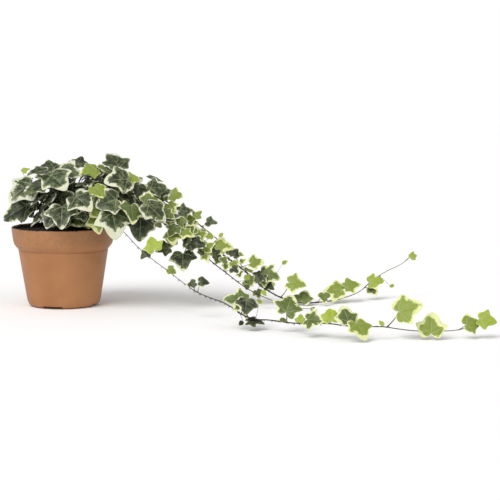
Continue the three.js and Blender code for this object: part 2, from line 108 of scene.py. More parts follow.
# Half outlines of a blade, as shares of its length [across, along] from its joint to its tip, and how
# far each stretch between them bulges. They are told apart by the points round the CAD blade.
HALF_OUTLINES = {
    11: [[0.38, -0.17], [0.5, 0.1], [0.7, 0.37], [0.37, 0.5]],
    9: [[0.3, -0.12], [0.6, 0.3], [0.3, 0.48]],
    5: [[0.34, 0.36]],
}
BULGES = {11: [0.2, 0.05, 0.06, 0.05, 0.1], 9: [0.2, 0.08, 0.05, 0.1], 5: [0.16, 0.12]}


# ---------------------------------------------------------------- small tools
def unit(vectors):
    """Vectors scaled to length 1."""
    return vectors / np.linalg.norm(vectors, axis=-1, keepdims=True)


def piece(name, points, triangles, materials, nodes, which=None, attributes=(), sharp=None):
    """A mesh object at the origin from points in mm and triangles. Which gives each triangle's
    material, attributes hold values for each point, and edges between two sharp points stay sharp."""
    mesh = bpy.data.meshes.new(name)
    mesh.from_pydata((points * MM).tolist(), [], triangles.tolist())
    mesh.polygons.foreach_set("use_smooth", np.ones(len(triangles), bool))
    for material in materials:
        mesh.materials.append(material)
    if which is not None:
        mesh.polygons.foreach_set("material_index", which)
    for key, values in dict(attributes).items():
        kind, field = ("FLOAT_COLOR", "color") if values.shape[1] == 4 else ("FLOAT_VECTOR", "vector")
        layer = mesh.attributes.new(key, kind, "POINT")
        layer.data.foreach_set(field, values.astype(np.float32).ravel())
    if sharp is not None:
        ends = np.empty(len(mesh.edges) * 2, int)
        mesh.edges.foreach_get("vertices", ends)
        both = sharp[ends.reshape(-1, 2)].all(axis=1)
        mesh.attributes.new("sharp_edge", "BOOLEAN", "EDGE").data.foreach_set("value", both)
    made = bpy.data.objects.new(name, mesh)
    bpy.context.scene.collection.objects.link(made)
    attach(made, "root")
    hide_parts(*nodes)
    return made


def shell_triangles(rows, sides):
    """Triangles of a closed shell: rows of points round it, then a pole that closes the first row and
    one that closes the last. Seen from outside, a row runs to the right and the next one lies above."""
    row, column = np.meshgrid(np.arange(rows - 1), np.arange(sides), indexing="ij")
    a = row * sides + column
    b = row * sides + (column + 1) % sides
    wall = np.stack([a, b, b + sides, a, b + sides, a + sides], axis=-1).reshape(-1, 3)
    around = np.arange(sides)
    after = (around + 1) % sides
    first, last = np.full(sides, rows * sides), np.full(sides, rows * sides + 1)
    start = (rows - 1) * sides
    return np.vstack([wall, np.stack([first, after, around], axis=1),
                      np.stack([last, start + around, start + after], axis=1)])


def copies(triangles, count, points_each):
    """The same triangles for each of a number of alike sets of points."""
    return (triangles[None] + np.arange(count)[:, None, None] * points_each).reshape(-1, 3)


def lathe(profile, sides):
    """A surface of revolution about Z. Its points are (r cos a, r sin a, z) for each [r, z] of the
    profile and each of the angles. The profile starts and ends on the axis, at the two poles."""
    angle = np.arange(sides) / sides * 2 * math.pi
    r, z = np.array(profile[1:-1], float).T
    ring = np.stack([np.outer(r, np.cos(angle)), np.outer(r, np.sin(angle)),
                     np.outer(z, np.ones(sides))], axis=-1).reshape(-1, 3)
    points = np.vstack([ring, [[0, 0, profile[0][1]], [0, 0, profile[-1][1]]]])
    return points, shell_triangles(len(r), sides)


def rounded(profile, radii, steps=5):
    """A profile whose corners are replaced by arcs: each corner is cut back by its radius along both
    sides, and a quadratic curve runs between the two cuts with the corner as its middle control."""
    points = [np.array(profile[0], float)]
    for before, corner, after, radius in zip(profile, profile[1:-1], profile[2:], radii):
        before, corner, after = (np.array(p, float) for p in (before, corner, after))
        start = corner + unit(before - corner) * radius
        end = corner + unit(after - corner) * radius
        for share in np.linspace(0, 1, steps):
            points.append((1 - share) ** 2 * start + 2 * share * (1 - share) * corner + share ** 2 * end)
    points.append(np.array(profile[-1], float))
    return points


def smooth_line(points, per_span):
    """A centripetal Catmull-Rom curve: between two points it is a cubic whose slopes come from the
    neighbours, each span counted as the square root of its length. It runs on straight at its ends."""
    points = np.array(points, float)
    padded = np.vstack([2 * points[0] - points[1], points, 2 * points[-1] - points[-2]])
    p0, p1, p2, p3 = padded[:-3], padded[1:-2], padded[2:-1], padded[3:]
    d0, d1, d2 = (np.sqrt(np.linalg.norm(b - a, axis=1))[:, None]
                  for a, b in ((p0, p1), (p1, p2), (p2, p3)))
    slope1 = ((p1 - p0) / d0 - (p2 - p0) / (d0 + d1) + (p2 - p1) / d1) * d1
    slope2 = ((p2 - p1) / d1 - (p3 - p1) / (d1 + d2) + (p3 - p2) / d2) * d1
    w = (np.arange(per_span) / per_span)[:, None, None]
    spans = (p1 + slope1 * w + (3 * (p2 - p1) - 2 * slope1 - slope2) * w ** 2
             + (2 * (p1 - p2) + slope1 + slope2) * w ** 3)
    return np.vstack([spans.transpose(1, 0, 2).reshape(-1, 3), points[-1:]])


def tubes(paths, radii, sides):
    """Round tubes with pointed ends along paths of equal count: points (L, m, 3), radii (L, m).
    Each ring is the path's point plus radius times (cos a, sin a) in the plane across the path,
    whose first direction is the one that the path runs along least."""
    count, steps, _ = paths.shape
    along = unit(np.gradient(paths, axis=1))
    least = np.linalg.svd(along)[2][:, -1][:, None]
    first = unit(np.cross(along, np.cross(least, along)))
    second = np.cross(along, first)
    angle = np.arange(sides) / sides * 2 * math.pi
    ring = np.cos(angle)[:, None] * first[:, :, None] + np.sin(angle)[:, None] * second[:, :, None]
    body = (paths[:, :, None] + radii[:, :, None, None] * ring).reshape(count, -1, 3)
    points = np.concatenate([body, paths[:, :1], paths[:, -1:]], axis=1)
    return points.reshape(-1, 3), copies(shell_triangles(steps, sides), count, points.shape[1])


# ---------------------------------------------------------------- materials
def linear(code):
    """An sRGB hex colour as linear red, green, blue and full alpha."""
    values = np.array([int(code[i:i + 2], 16) for i in (1, 3, 5)]) / 255
    return (*np.where(values <= 0.04045, values / 12.92, ((values + 0.055) / 1.055) ** 2.4).tolist(), 1.0)


def add(tree, kind, inputs=(), ramp=(), **settings):
    """Adds a node with its settings. Inputs are linked where they are nodes or sockets, or else set.
    A ramp is a list of places and colours."""
    node = tree.nodes.new("ShaderNode" + kind)
    for key, value in settings.items():
        setattr(node, key, value)
    for key, value in dict(inputs).items():
        if isinstance(value, bpy.types.Node):
            value = value.outputs[0]
        if isinstance(value, bpy.types.NodeSocket):
            tree.links.new(value, node.inputs[key])
        else:
            node.inputs[key].default_value = value
    for index, (place, code) in enumerate(ramp):
        stops = node.color_ramp.elements
        stop = stops[index] if index < 2 else stops.new(place)
        stop.position, stop.color = place, linear(code)
    return node


def new_material(name):
    """An empty material and its node tree."""
    material = bpy.data.materials.new(name)
    material.use_nodes = True
    material.node_tree.nodes.clear()
    return material, material.node_tree


def finished(tree, surface):
    """Links the shader to the material's output."""
    add(tree, "OutputMaterial", {"Surface": surface})


# Moulded polypropylene, coloured terracotta all through. It has the faint satin of a polished mould,
# cloudy patches where the melt flowed, a dusting of compost, rubbed places, and soil on its brim.
# The collar also takes more of the dust tint, which darkens it: this is painted shade.
def moulded_polypropylene():
    material, tree = new_material("moulded_polypropylene_terracotta")
    place = add(tree, "TexCoord").outputs["Object"]
    flow = add(tree, "TexNoise", {"Vector": place, "Scale": 1 / (45 * MM), "Detail": 3.0, "Roughness": 0.5})
    scuffs = add(tree, "TexNoise", {"Vector": place, "Scale": 1 / (5 * MM), "Detail": 6.0, "Roughness": 0.7})
    skin = add(tree, "TexNoise", {"Vector": place, "Scale": 1 / (0.8 * MM), "Detail": 2.0})
    body = add(tree, "ValToRGB", {"Fac": flow}, ramp=[(0.3, "#9d673c"), (0.7, "#ae784a")])
    height = add(tree, "SeparateXYZ", {0: place}).outputs[2]
    # Painted shade: from 68 mm up to 80 mm, and above that to the rim, the collar takes more of the dust
    # tint.
    collar_painted_shade = add(tree, "MapRange", {
        "Value": height, "From Min": 68 * MM, "From Max": 80 * MM, "To Max": 0.25})
    # Real dust in patches from the scuffs' noise, with the collar's painted shade added to it.
    dust_and_collar_shade = add(tree, "Math", {0: scuffs, 1: collar_painted_shade}, operation="ADD")
    dust_and_shade_share = add(tree, "MapRange", {"Value": dust_and_collar_shade, "From Min": 0.6, "From Max": 0.8, "To Max": 0.45})
    dusty_and_shaded = add(tree, "Mix", {0: dust_and_shade_share, 6: body, 7: linear("#8a6644")}, data_type="RGBA")
    brim = add(tree, "Math", {0: scuffs, 1: 3.5 * MM, 2: height}, operation="MULTIPLY_ADD")
    soil_share = add(tree, "MapRange", {"Value": brim, "From Min": (POT_HEIGHT + 0.9) * MM,
                                        "From Max": (POT_HEIGHT + 1.6) * MM, "To Max": 0.9})
    soiled = add(tree, "Mix", {0: soil_share, 6: dusty_and_shaded.outputs[2], 7: linear("#2b211a")}, data_type="RGBA")
    rough = add(tree, "MapRange", {
        "Value": scuffs, "From Min": 0.3, "From Max": 0.75, "To Min": 0.42, "To Max": 0.6})
    bump = add(tree, "Bump", {"Height": skin, "Strength": 0.25, "Distance": 0.06 * MM})
    finished(tree, add(tree, "BsdfPrincipled", {
        "Base Color": soiled.outputs[2], "Roughness": rough, "IOR": 1.49, "Normal": bump}))
    return material


# Damp peat compost: dark brown on its crumbs, with pale fibres, and painted nearly black in the hollows
# between them, which is painted shade.
def damp_compost():
    material, tree = new_material("damp_peat_compost")
    place = add(tree, "TexCoord").outputs["Object"]
    grains = add(tree, "TexNoise", {
        "Vector": place, "Scale": 1 / (2.4 * MM), "Detail": 6.0, "Roughness": 0.75})
    fibres = add(tree, "TexNoise", {
        "Vector": place, "Scale": 1 / (1.1 * MM), "Detail": 3.0, "Distortion": 1.4})
    # This ramp and the bump read the same noise, so its near-black end lies in the hollows between crumbs:
    # painted shade.
    body = add(tree, "ValToRGB", {"Fac": grains}, ramp=[
        (0.34, "#120d0a"), (0.55, "#2b211a"), (0.76, "#4a3a2c")])
    share = add(tree, "MapRange", {"Value": fibres, "From Min": 0.66, "From Max": 0.72})
    colour = add(tree, "Mix", {0: share, 6: body, 7: linear("#6d5a44")}, data_type="RGBA")
    bump = add(tree, "Bump", {"Height": grains, "Strength": 0.9, "Distance": 0.9 * MM})
    finished(tree, add(tree, "BsdfPrincipled", {
        "Base Color": colour.outputs[2], "Roughness": 0.92, "IOR": 1.4, "Normal": bump}))
    return material


# The directions of a blade's main veins, from the petiole's joint to the points of its lobes.
VEINS = unit(np.array([[0.0, 1.0], [0.7, 0.37], [0.38, -0.17]]))


def vein_pattern(tree, across, along):
    """How much of a place is vein, 1 on its middle. A main vein narrows as it runs out, and is where
    the distance to its line is less than its width. Side veins leave each line at even spacing."""
    wide = add(tree, "Math", {0: across}, operation="ABSOLUTE")
    nearest, total = 10.0, 0.0
    for x, y in VEINS.tolist():
        reach = add(tree, "Math", {0: wide, 1: x}, operation="MULTIPLY")
        reach = add(tree, "Math", {0: along, 1: y, 2: reach}, operation="MULTIPLY_ADD")
        drift = add(tree, "Math", {0: wide, 1: y}, operation="MULTIPLY")
        drift = add(tree, "Math", {0: along, 1: -x, 2: drift}, operation="MULTIPLY_ADD")
        off = add(tree, "Math", {0: drift}, operation="ABSOLUTE")
        width = add(tree, "MapRange", {
            "Value": reach, "From Min": 0.0, "From Max": 0.9, "To Min": 0.023, "To Max": 0.006})
        main = add(tree, "Math", {0: off, 1: width}, operation="DIVIDE")
        main = add(tree, "MapRange", {"Value": main, "From Min": 1.15, "From Max": 0.35})
        ahead = add(tree, "Math", {0: reach, 1: 0.0}, operation="GREATER_THAN")
        shown = add(tree, "Math", {0: main, 1: ahead}, operation="MULTIPLY")
        slant = add(tree, "Math", {0: off, 1: -1.1, 2: reach}, operation="MULTIPLY_ADD")
        beat = add(tree, "Math", {0: slant, 1: 0.062}, operation="PINGPONG")
        side = add(tree, "MapRange", {"Value": beat, "From Min": 0.009, "From Max": 0.002, "To Max": 0.34})
        ours = add(tree, "Math", {0: off, 1: nearest}, operation="LESS_THAN")
        ours = add(tree, "Math", {0: ours, 1: ahead}, operation="MULTIPLY")
        side = add(tree, "Math", {0: side, 1: ours}, operation="MULTIPLY")
        nearest = add(tree, "Math", {0: off, 1: nearest}, operation="MINIMUM")
        total = add(tree, "Math", {0: total, 1: shown}, operation="MAXIMUM")
        total = add(tree, "Math", {0: total, 1: side}, operation="MAXIMUM")
    return total


def blade_values(tree):
    """What the sides of a leaf read: the place on the blade (across, along, and out to its margin),
    its green, cream and warmth, patches, and, for the upper side, its grain and its mottling."""
    blade = add(tree, "SeparateXYZ", {0: add(tree, "Attribute", attribute_name="blade").outputs["Vector"]})
    grain = add(tree, "Attribute", attribute_name="grain").outputs["Vector"]
    look = add(tree, "Attribute", attribute_name="look")
    tones = add(tree, "SeparateColor", {0: look.outputs["Color"]})
    patches = add(tree, "TexNoise", {"Vector": grain, "Scale": 1 / 5.5, "Detail": 2.0, "Roughness": 0.55})
    return *blade.outputs, *tones.outputs, patches, grain, look.outputs["Alpha"]


def margin_share(tree, edge, cream, start, fade):
    """How far a place lies past the green's limit, and how much of it is margin. The limit comes
    nearer as the share of cream grows, and the margin fades in over the two places given."""
    limit = add(tree, "Math", {0: cream, 1: -0.55, 2: start}, operation="MULTIPLY_ADD")
    past = add(tree, "Math", {0: edge, 1: limit}, operation="SUBTRACT")
    return past, add(tree, "MapRange", {"Value": past, "From Min": fade[0], "From Max": fade[1]},
                     interpolation_type="SMOOTHSTEP")


# Light that enters a leaf comes out again close by, greener than it went in.
LEAF_FLESH = {
    "Subsurface Weight": 0.12, "Subsurface Radius": (0.6, 1.0, 0.3), "Subsurface Scale": 0.8 * MM}


# The upper side of a variegated ivy leaf: a waxy skin, green that is mottled with grey-green, veins
# that are paler, and a margin without green in it, cream to yellow, that steps and is unevenly wide.
def leaf_skin():
    material, tree = new_material("variegated_leaf_upper_side")
    across, along, out, green, cream, warmth, patches, grain, mottling = blade_values(tree)
    shade = add(tree, "TexNoise", {"Vector": grain, "Scale": 1 / 2.2, "Detail": 3.0})
    cells = add(tree, "TexVoronoi", {"Vector": grain, "Scale": 1 / 3.2})
    step = add(tree, "SeparateColor", {0: cells.outputs["Color"]})
    veins = vein_pattern(tree, across, along)

    hue = add(tree, "Math", {0: shade, 1: 0.16, 2: green}, operation="MULTIPLY_ADD")
    hue = add(tree, "Math", {0: hue, 1: -0.08}, operation="ADD")
    greens = add(tree, "ValToRGB", {"Fac": hue}, ramp=[
        (0.0, "#0d110a"), (1.0, "#a8b838"), (0.2, "#1b2315"), (0.45, "#354424"), (0.65, "#68782e"),
        (0.85, "#8b9b38")])
    uneven = add(tree, "TexNoise", {"Vector": grain, "Scale": 1 / 14, "Detail": 1.0})
    edge = out
    for moved_by, amount in ((step.outputs[0], 0.16), (patches, 0.36), (uneven, 0.65)):
        edge = add(tree, "Math", {0: moved_by, 1: amount, 2: edge}, operation="MULTIPLY_ADD")
    past, margin = margin_share(tree, edge, cream, 1.61, (-0.05, 0.07))

    spots = add(tree, "MapRange", {"Value": patches, "From Min": 0.47, "From Max": 0.6})
    beside = add(tree, "MapRange", {"Value": past, "From Min": -0.24, "From Max": -0.06})
    mottle = add(tree, "Math", {0: spots, 1: beside}, operation="MAXIMUM")
    mottle = add(tree, "Math", {0: mottle, 1: mottling}, operation="MULTIPLY")
    paler = add(tree, "Mix", {0: 0.45, 6: greens, 7: linear("#868f5f")}, data_type="RGBA")
    vein_share = add(tree, "Math", {0: veins, 1: 0.38}, operation="MULTIPLY")
    creams = add(tree, "Mix", {0: warmth, 6: linear("#d3d5be"), 7: linear("#dcdf98")}, data_type="RGBA")
    colour = greens
    for share, over in ((mottle, paler.outputs[2]), (vein_share, linear("#b4bd90")),
                        (margin, creams.outputs[2])):
        colour = add(tree, "Mix", {0: share, 6: colour, 7: over}, data_type="RGBA").outputs[2]

    rough = add(tree, "MapRange", {
        "Value": shade, "From Min": 0.3, "From Max": 0.7, "To Min": 0.36, "To Max": 0.52})
    height = add(tree, "Math", {0: veins, 1: -0.7, 2: shade}, operation="MULTIPLY_ADD")
    bump = add(tree, "Bump", {"Height": height, "Strength": 0.5, "Distance": 0.25 * MM})
    finished(tree, add(tree, "BsdfPrincipled", {
        **LEAF_FLESH, "Base Color": colour, "Roughness": rough, "IOR": 1.37, "Normal": bump}))
    return material


# The underside: matt and paler, with a plainer margin, and veins that stand out from it.
def leaf_underside():
    material, tree = new_material("variegated_leaf_underside")
    across, along, out, green, cream, warmth, patches, *_ = blade_values(tree)
    veins = vein_pattern(tree, across, along)
    greens = add(tree, "ValToRGB", {"Fac": green}, ramp=[
        (0.0, "#434c36"), (1.0, "#a0ad56"), (0.5, "#6b764c")])
    veined = add(tree, "Mix", {0: veins, 6: greens, 7: linear("#a5ae80")}, data_type="RGBA")
    edge = add(tree, "Math", {0: patches, 1: 0.36, 2: out}, operation="MULTIPLY_ADD")
    _, margin = margin_share(tree, edge, cream, 1.18, (-0.04, 0.06))
    creams = add(tree, "Mix", {0: warmth, 6: linear("#cbccb4"), 7: linear("#c9cf82")}, data_type="RGBA")
    colour = add(tree, "Mix", {0: margin, 6: veined.outputs[2], 7: creams.outputs[2]}, data_type="RGBA")
    bump = add(tree, "Bump", {"Height": veins, "Strength": 0.6, "Distance": 0.3 * MM})
    finished(tree, add(tree, "BsdfPrincipled", {
        **LEAF_FLESH, "Base Color": colour.outputs[2], "Roughness": 0.62, "IOR": 1.4, "Normal": bump}))
    return material


# Stems: bark-brown and ridged where they are old, with a purple flush, and green where they are young.
# Petioles are paler, and flushed where they leave the stem. The point's age is in its attribute.
def stem_skin():
    material, tree = new_material("ivy_stem")
    blade = add(tree, "Attribute", attribute_name="blade").outputs["Vector"]
    age = add(tree, "SeparateXYZ", {0: blade}).outputs[2]
    place = add(tree, "TexCoord").outputs["Object"]
    streaks = add(tree, "TexNoise", {
        "Vector": place, "Scale": 1 / (1.6 * MM), "Detail": 4.0, "Roughness": 0.7})
    mixed = add(tree, "Math", {0: streaks, 1: 0.3, 2: age}, operation="MULTIPLY_ADD")
    mixed = add(tree, "Math", {0: mixed, 1: -0.15}, operation="ADD")
    colour = add(tree, "ValToRGB", {"Fac": mixed}, ramp=[
        (0.0, "#93a347"), (1.0, "#261d19"), (0.3, "#77764a"), (0.55, "#5c4747"), (0.8, "#3d2d2b")])
    bump = add(tree, "Bump", {"Height": streaks, "Strength": 0.5, "Distance": 0.2 * MM})
    finished(tree, add(tree, "BsdfPrincipled", {
        "Base Color": colour, "Roughness": 0.55, "IOR": 1.42, "Normal": bump}))
    return material


# A matt white painted board.
def painted_board():
    material, tree = new_material("matt_white_board")
    finished(tree, add(tree, "BsdfPrincipled", {
        "Base Color": linear("#fbfafa"), "Roughness": 0.9, "Specular IOR Level": 0.1}))
    return material


# ---------------------------------------------------------------- pot
def make_pot():
    """The pot's wall as one turned section, out over the foot and up, with a fine groove under the
    collar, over the rim and down inside. Its corners are rounded. Boxes cut the notches, and
    cylinders the drain holes."""
    section = [(0, 0), (36.5, 0), (40.7, 1.7), (42.6, 6.4), (52.05, 65), (51.5, 65.7), (52.5, 66.5),
               (56.8, 71.8), (58, 76), (59.8, 90.6), (59.6, 91.7), (58.8, 92), (58, 90.8),
               (55.9, 73.4), (50.4, 66.6), (41.1, 7.4), (37.5, 5.4), (0, 5.4)]
    corner_radii = (0.6, 1.6, 2.0, 0.3, 0.35, 0.3, 2.2, 2.0, 0.4, 0.3, 0.3, 0.4, 1.0, 2.0, 1.2, 1.0)
    points, triangles = lathe(rounded(section, corner_radii), POT_SIDES)
    pot = piece("nursery_pot", points, triangles, [moulded_polypropylene()], ["pot"])
    reach = RIM_RADIUS - NOTCH["inner"]
    middle = (NOTCH["inner"] + reach / 2) * MM
    below = 4  # how far a cutter stands out under the pot
    for index in range(NOTCH["count"]):
        angle = math.radians(NOTCH["first"] + index * 360 / NOTCH["count"])
        bpy.ops.mesh.primitive_cube_add(size=1)
        cutter = bpy.context.object
        cutter.scale = (reach * MM, NOTCH["wide"] * MM, (NOTCH["high"] + below) * MM)
        cutter.location = (
            middle * math.cos(angle), middle * math.sin(angle), (NOTCH["high"] - below) / 2 * MM)
        cutter.rotation_euler = (0, 0, angle)
        cut_away(pot, cutter)
        bpy.ops.mesh.primitive_cylinder_add(vertices=32, radius=DRAIN_RADIUS * MM, depth=20 * MM, location=(
            DRAIN_AT * MM * math.cos(angle), DRAIN_AT * MM * math.sin(angle), 0))
        cut_away(pot, bpy.context.object)


def cut_away(target, cutter):
    """Takes one object's space out of another, and removes it."""
    cut = target.modifiers.new("cut", "BOOLEAN")
    cut.object, cut.operation, cut.solver = cutter, "DIFFERENCE", "EXACT"
    bpy.context.view_layer.objects.active = target
    bpy.ops.object.modifier_apply(modifier=cut.name)
    bpy.data.objects.remove(cutter)


# ---------------------------------------------------------------- compost
def soil_height(x, y):
    """Height of the compost: a cosine heap, and sines in x and y for its larger crumbs."""
    out = np.minimum(np.hypot(x, y) / RIM_RADIUS, 1)
    coarse = np.sin(x * 0.83 + 1.7 * np.sin(y * 0.31)) * np.cos(y * 0.71 - 0.9 * np.sin(x * 0.37))
    fine = np.sin(x * 1.9 + y * 1.3) * np.cos(x * 1.1 - y * 2.1)
    return SOIL_LEVEL + SOIL_HEAP * np.cos(out * math.pi / 2) + SOIL_CRUMB * (coarse + 0.6 * fine)


def make_compost():
    """The root ball: turned from its section inside the pot's wall, its top lifted to the compost's
    height. Crumbs are small balls, squashed and knobbed by sines, sunk half way into the top. The
    larger ones are kept farther in, so that none reaches the wall."""
    wall = [(0, 5.8), (37.2, 5.8), (40.4, 8), (50.1, 67), (55.3, 74), (56.8, 84)]
    top = [(r, 100) for r in np.linspace(SOIL_RADIUS, 2, 46)] + [(0, 100)]
    points, triangles = lathe(wall + top, 150)
    high = points[:, 2] > 99
    x, y = points[high, 0], points[high, 1]
    crumbly = 0.35 * np.sin(x * 3.1 + 2 * np.sin(y * 1.7)) * np.sin(y * 2.9 + 2 * np.sin(x * 2.3))
    points[high, 2] = np.minimum(soil_height(x, y) + crumbly, 91 + 6 * (1 - np.hypot(x, y) / RIM_RADIUS))

    angle, out = draws.random(CRUMBS) * 2 * math.pi, 56 * np.sqrt(draws.random(CRUMBS))
    size = 0.6 + 1.6 * draws.random(CRUMBS) ** 2
    out = np.minimum(out, SOIL_RADIUS - 1.8 * size)
    centre = np.stack([out * np.cos(angle), out * np.sin(angle)], axis=1)
    centre = np.column_stack([centre, soil_height(*centre.T) + 0.1 * size])
    centre[:, 2] = np.minimum(centre[:, 2], 90.5 + 6 * (1 - out / RIM_RADIUS))
    ball, faces = lathe([(0, -1), (0.72, -0.7), (1, 0), (0.72, 0.7), (0, 1)], 7)
    stretch = 0.6 + 0.8 * draws.random((CRUMBS, 1, 3))
    knobs = 1 + 0.3 * np.sin(ball[None] * 4 + draws.random((CRUMBS, 1, 3)) * 9)
    crumbs = centre[:, None] + ball[None] * stretch * knobs * size[:, None, None]
    crumb_triangles = copies(faces, CRUMBS, len(ball)) + len(points)
    piece("compost", np.vstack([points, crumbs.reshape(-1, 3)]),
          np.vstack([triangles, crumb_triangles]), [damp_compost()], ["soil"])


# ---------------------------------------------------------------- the stems' routes
# Crown shoots end at these tips. Trails follow these routes from their root over the rim.
CROWN = {
    "shoot_front": (4, -53, 112), "shoot_front_right": (24, -50, 120),
    "shoot_front_low_right": (44, -51, 106), "shoot_front_left": (-10, -38, 146),
    "shoot_left_low": (-40, -6, 111), "shoot_left": (-40, -14, 134), "shoot_left_top": (-44, 6, 142),
    "shoot_centre_left": (0, -20, 155), "shoot_centre": (19, -10, 160),
    "shoot_centre_right": (41, -30, 156), "shoot_top_right": (66, -16, 154),
    "shoot_right_front": (70, -36, 142), "shoot_right_low": (66, -50, 106),
    "shoot_right_out": (98, -44, 114), "shoot_right": (97, -6, 136), "shoot_back_right": (76, 48, 130),
    "shoot_back": (34, 60, 128), "shoot_back_top": (28, 28, 156), "shoot_back_left": (-8, 58, 122),
    "shoot_left_back": (-42, 40, 124), "shoot_left_rear_top": (-12, 22, 152),
}
TRAILS = {
    "trail_lower": [
        (24, -20), (48, -40, 107), (68, -52, 97), (95, -62, 71), (126, -76, 49), (155, -100, 31),
        (171, -118, 26), (188, -140, 23), (200, -158, 19), (210, -174, 14.5), (223, -184, 11.5),
        (237, -190, 11.5), (254, -198, 10.5), (265, -208, 11), (279, -222, 13), (299, -236, 15),
        (314, -246, 14.5), (337, -248, 14), (354, -244, 13), (368, -238, 10), (385, -238, 8),
        (401, -242, 8.5), (423, -240, 8.5), (437, -236, 10.5), (449, -232, 17), (456, -231, 20)],
    "trail_upper": [
        (36, 5), (66, 7, 128), (100, 2, 125), (136, 2, 98), (159, 4, 78), (179, 5, 63),
        (200, 5, 48), (218, 5, 33), (232, 7, 20), (253, 4, 8), (273, -4, 3), (295, 0, 2.2),
        (324, 18, 4), (348, 36, 10), (364, 46, 22), (382, 50, 33), (400, 50, 42), (410, 50, 51)],
    "trail_middle": [
        (31, -8), (66, -12, 119), (98, -20, 110), (121, -24, 96), (140, -28, 83), (155, -31, 72),
        (175, -38, 54), (190, -42, 43), (212, -42, 26), (232, -32, 14), (252, -30, 6), (270, -42, 2.5),
        (286, -56, 3)],
    "trail_back": [
        (24, 22), (60, 38, 130), (98, 42, 128), (136, 38, 106), (158, 36, 90), (180, 34, 72),
        (199, 33, 53), (214, 33, 34), (228, 34, 22)],
}
CROWN_ROOT_SHARE = 0.34
SHOULDER_SHARE = 0.42
SHOULDER_RISE = 0.8
LEAST_RISE = 24


def stem_line(root, onward):
    """The smooth line of a stem: straight up out of the compost at its root, then on by its route."""
    rooted = [(*root, z) for z in (STEM_LEVEL - ROOTED_DEPTH, STEM_SURFACE + 1, STEM_SURFACE + 7)]
    line = smooth_line([*rooted, *onward], 12)
    reached = np.concatenate([[0], np.cumsum(np.linalg.norm(np.diff(line, axis=0), axis=1))])
    stations = np.linspace(0, reached[-1], int(reached[-1] / STATION))
    return np.stack([np.interp(stations, reached, line[:, axis]) for axis in range(3)], axis=1)


def crown_line(tip):
    """A crown stem arches over a shoulder, a share of the way out and of the way up to its tip."""
    root = (tip[0] * CROWN_ROOT_SHARE, tip[1] * CROWN_ROOT_SHARE)
    shoulder = (root[0] + (tip[0] - root[0]) * SHOULDER_SHARE, root[1] + (tip[1] - root[1]) * SHOULDER_SHARE,
                STEM_LEVEL + max((tip[2] - STEM_LEVEL) * SHOULDER_RISE, LEAST_RISE))
    return stem_line(root, [shoulder, tip])


# ---------------------------------------------------------------- the CAD blades
def merged_mesh(node):
    """A CAD node's points in mm with its doubles joined, and its triangles."""
    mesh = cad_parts[node].data
    points = np.empty(len(mesh.vertices) * 3)
    mesh.vertices.foreach_get("co", points)
    points = points.reshape(-1, 3) / MM
    mesh.calc_loop_triangles()
    triangles = np.empty(len(mesh.loop_triangles) * 3, int)
    mesh.loop_triangles.foreach_get("vertices", triangles)
    _, first, same = np.unique(
        np.round(points / 0.01).astype(int), axis=0, return_index=True, return_inverse=True)
    return points[first], same.ravel()[triangles.reshape(-1, 3)]


def ring_round(centre, triangles):
    """The points round a fan of triangles, in order. Each triangle leads from its one rim point to
    the next."""
    fan = triangles[(triangles == centre).any(axis=1)]
    turn = (fan == centre).argmax(axis=1)
    follows = dict(zip(fan[np.arange(len(fan)), (turn + 1) % 3], fan[np.arange(len(fan)), (turn + 2) % 3]))
    ring = [next(iter(follows))]
    while len(ring) < len(follows):
        ring.append(follows[ring[-1]])
    return ring


def cad_blades(node):
    """Each blade of a CAD shoot is a fan round a raised centre over the same fan a blade's thickness
    below. Its narrow base edge gives the joint and the way across, the point opposite is the tip, and
    the fall from joint to tip gives how far it is cupped."""
    points, triangles = merged_mesh(node)
    valence = np.bincount(triangles.ravel(), minlength=len(points))
    found = []
    for rim in (5, 9, 11):
        centres = np.flatnonzero(valence == rim)
        apart = np.linalg.norm(points[centres, None] - points[None, centres], axis=2)
        for a, b in centres[np.argwhere(np.triu(np.abs(apart - CAD_BLADE) < 0.02, 1))]:
            rings = [ring_round(c, triangles) for c in (a, b)]
            gap = points[rings[0], None] + (points[b] - points[a]) - points[None, rings[1]]
            if len(rings[0]) != len(rings[1]) or np.linalg.norm(gap, axis=2).min(axis=1).max() > 0.03:
                continue
            if (points[a] - points[rings[0]].mean(axis=0)) @ (points[a] - points[b]) < 0:
                a, b, rings = b, a, rings[::-1]
            ring = points[rings[0]]
            base = np.linalg.norm(ring - np.roll(ring, 1, axis=0), axis=1).argmin()
            ring = np.roll(ring, -base, axis=0)
            normal = unit(points[a] - points[b])
            across = unit(ring[0] - ring[-1])
            tipward = np.cross(normal, across)
            joint = (ring[0] + ring[-1]) / 2 - normal * CAD_BLADE / 2
            tip = ring[len(ring) // 2] - normal * CAD_BLADE / 2 - joint
            foot = [i for t in triangles[np.isin(triangles, [rings[0][base], rings[0][base - 1]]).any(axis=1)]
                    for i in t if i not in rings[0] and i not in rings[1] and i not in (a, b)]
            size = tip @ tipward
            half = HALF_OUTLINES[rim]
            waist = (ring[len(half)] - joint) @ across / size / half[-1][0]
            found.append({"joint": joint, "across": across, "tipward": tipward, "normal": normal,
                          "size": size, "cup": -(tip @ normal) / (size * (1 - 2 * BLADE_CENTRE)),
                          "waist": waist, "rim": rim, "foot": points[foot].mean(axis=0)})
    return found


# ---------------------------------------------------------------- blades
def cupped(u, v, cup):
    """How high a blade's cupped base surface lies at (u, v), as a share of its length: a paraboloid
    round the blade's centre, which passes through the joint."""
    return -cup * (u ** 2 + (v - BLADE_CENTRE) ** 2 - BLADE_CENTRE ** 2)


